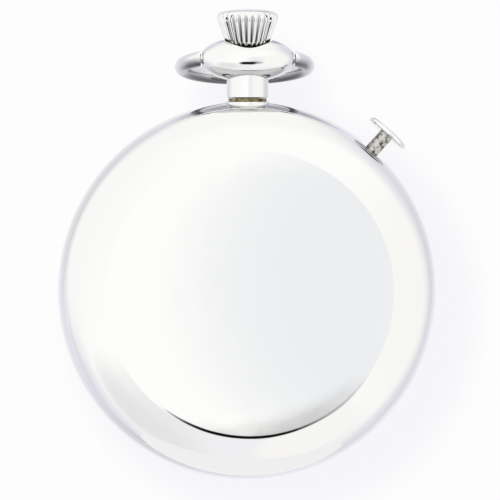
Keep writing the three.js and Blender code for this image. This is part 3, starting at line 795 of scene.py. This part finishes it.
for name, hand, middle, body, node in [
        ("secondsBlade", "seconds", 0, "seconds", "seconds_hand"),
        ("minuteBlade", "minute", counter, "minutes", "minute_hand")]:
    face = hands[hand + "Face"]
    grids = [blade(hands[hand + "Outline"], *face, middle), hub(hands[hand + "Hub"], *face, middle)]
    addPiece(name, makeMesh(name, grids), finishes["blued_steel"], body, [node],
             hands["crease"])
print("hands made")

# studio: white surroundings with soft tints, a pale floor well below, and the camera
studio = dict(
    behind=("#f1f0f9", 1.25), front=("#fffffd", 1.54), turnsAt=(-0.3, 0.6),
    floorRadius=0.12, floorDrop=0.16, floorSides=96, floorColour="#fcfcfd", floorGlow=0.06,
    lens=236.0, sensor=36.0, nearest=0.01, distance=0.45, azimuth=-4.0, elevation=2.5,
    aim=(0.34, 0, 5.62))
# azimuth, elevation, radius of the even part and of the whole in degrees, colour, strength;
# each one lies over those before it
tints = [
    # behind, which the band, the bow and the crown mirror
    (-135, 25, 5, 36, "#f9f8fc", 1.08),
    (130, 10, 3, 26, "#f8f7fc", 1.05),
    (172, 42, 3, 22, "#b9b9c2", 1.0),
    (-150, -48, 5, 30, "#f3f2fa", 1.0),
    # above, beside and in front, which the back mirrors
    (0, 88, 12, 50, "#fffffb", 1.47),
    (-75, 25, 20, 60, "#fffffd", 1.48),
    (16, -2, 8, 20, "#fbfcfe", 1.37),
    (58, -5, 10, 45, "#fffefa", 1.46),
    (0, -65, 25, 45, "#fdfdff", 1.38),
    (-40, -42, 4, 26, "#fefeff", 1.22),
    # low in front: the dark crescent at the foot of the back, and a light patch beside it
    (14, -27, 1, 16, "#cbcbcb", 1.0),
    (-2, -28, 4.5, 11.5, "#050506", 1.0),
    (7, -28, 4, 11, "#050506", 1.0),
    (28, -44, 12, 16, "#fffefc", 1.45),
    # straight behind the watch from the camera: a white ground, and a painted shadow round the
    # watch, which the watch doesn't cast
    (176, -2.5, 9, 24, "#fdfdfd", 1.0),
    (175.6, -3.6, 3.1, 3.95, "#f6f5f9", 1.0),
    (175.8, 0.0, 0.3, 1.5, "#f5f4f9", 1.0),
]


def direction(azimuth, elevation):
    # azimuth 0 is the camera's side, -Y, and 90 is +X
    a, e = math.radians(azimuth), math.radians(elevation)
    return (math.sin(a) * math.cos(e), -math.cos(a) * math.cos(e), math.sin(e))


def scaled(hexColour, strength):
    # a linear colour times a strength
    return [channel * strength for channel in linear(hexColour)[:3]] + [1]


def layOver(tree, view, below, aim, start, full, colour):
    # blends a colour over the one below, by the cosine between the view and the aim: none at
    # start, all at full. Inputs 0, 6 and 7 of a colour mix are its share and its two colours.
    facing = addNode(tree, "ShaderNodeVectorMath", dict(operation="DOT_PRODUCT"), {1: aim},
                     {0: view})
    share = addNode(tree, "ShaderNodeMapRange", dict(interpolation_type="SMOOTHSTEP"),
                    {"From Min": start, "From Max": full}, {"Value": facing.outputs["Value"]})
    mix = addNode(tree, "ShaderNodeMix", dict(data_type="RGBA"), {7: colour},
                  {0: share.outputs["Result"]})
    if isinstance(below, list):
        mix.inputs[6].default_value = below
    else:
        tree.links.new(below, mix.inputs[6])
    return mix.outputs[2]


def makeWorld():
    # one colour behind and one in front, then every tint over them in turn
    world = bpy.data.worlds.new("softStudio")
    world.use_nodes = True
    bpy.context.scene.world = world
    tree = world.node_tree
    view = addNode(tree, "ShaderNodeTexCoord").outputs["Generated"]
    colour = layOver(tree, view, scaled(*studio["behind"]), direction(0, 0), *studio["turnsAt"],
                     scaled(*studio["front"]))
    for azimuth, elevation, even, whole, hexColour, strength in tints:
        colour = layOver(tree, view, colour, direction(azimuth, elevation),
                         math.cos(math.radians(whole)), math.cos(math.radians(even)),
                         scaled(hexColour, strength))
    tree.links.new(colour, tree.nodes["Background"].inputs["Color"])


def makeFloor():
    # a round pale floor under the watch: (r cos a, r sin a, a drop below its lowest point)
    angle = np.linspace(0, 2 * np.pi, studio["floorSides"], endpoint=False)
    radius, drop = studio["floorRadius"], cadBox[0][2] - studio["floorDrop"]
    corners = np.stack([radius * np.cos(angle), radius * np.sin(angle), drop + 0 * angle], -1)
    mesh = plainMesh("floor", corners, np.arange(studio["floorSides"])[None, :])
    mesh.materials.append(newMaterial("paleFloor", {
        "Base Color": linear(studio["floorColour"]), "Emission Color": linear("#ffffff"),
        "Emission Strength": studio["floorGlow"], "Roughness": 1.0, "Specular IOR Level": 0.0})[0])
    floor = bpy.data.objects.new("floor", mesh)
    bpy.context.collection.objects.link(floor)


def makeCamera():
    # the camera stands at its distance from the aim, and looks straight at it
    camera = bpy.data.objects.new("camera", bpy.data.cameras.new("camera"))
    bpy.context.collection.objects.link(camera)
    camera.data.lens, camera.data.sensor_width = studio["lens"], studio["sensor"]
    towards = Vector(direction(studio["azimuth"], studio["elevation"]))
    camera.location = Vector(studio["aim"]) * mm + studio["distance"] * towards
    camera.rotation_euler = (-towards).to_track_quat("-Z", "Y").to_euler()
    camera.data.clip_start = studio["nearest"]
    bpy.context.scene.camera = camera


makeWorld()
makeFloor()
makeCamera()
bpy.context.scene.view_settings.view_transform = "Standard"
print("studio made")
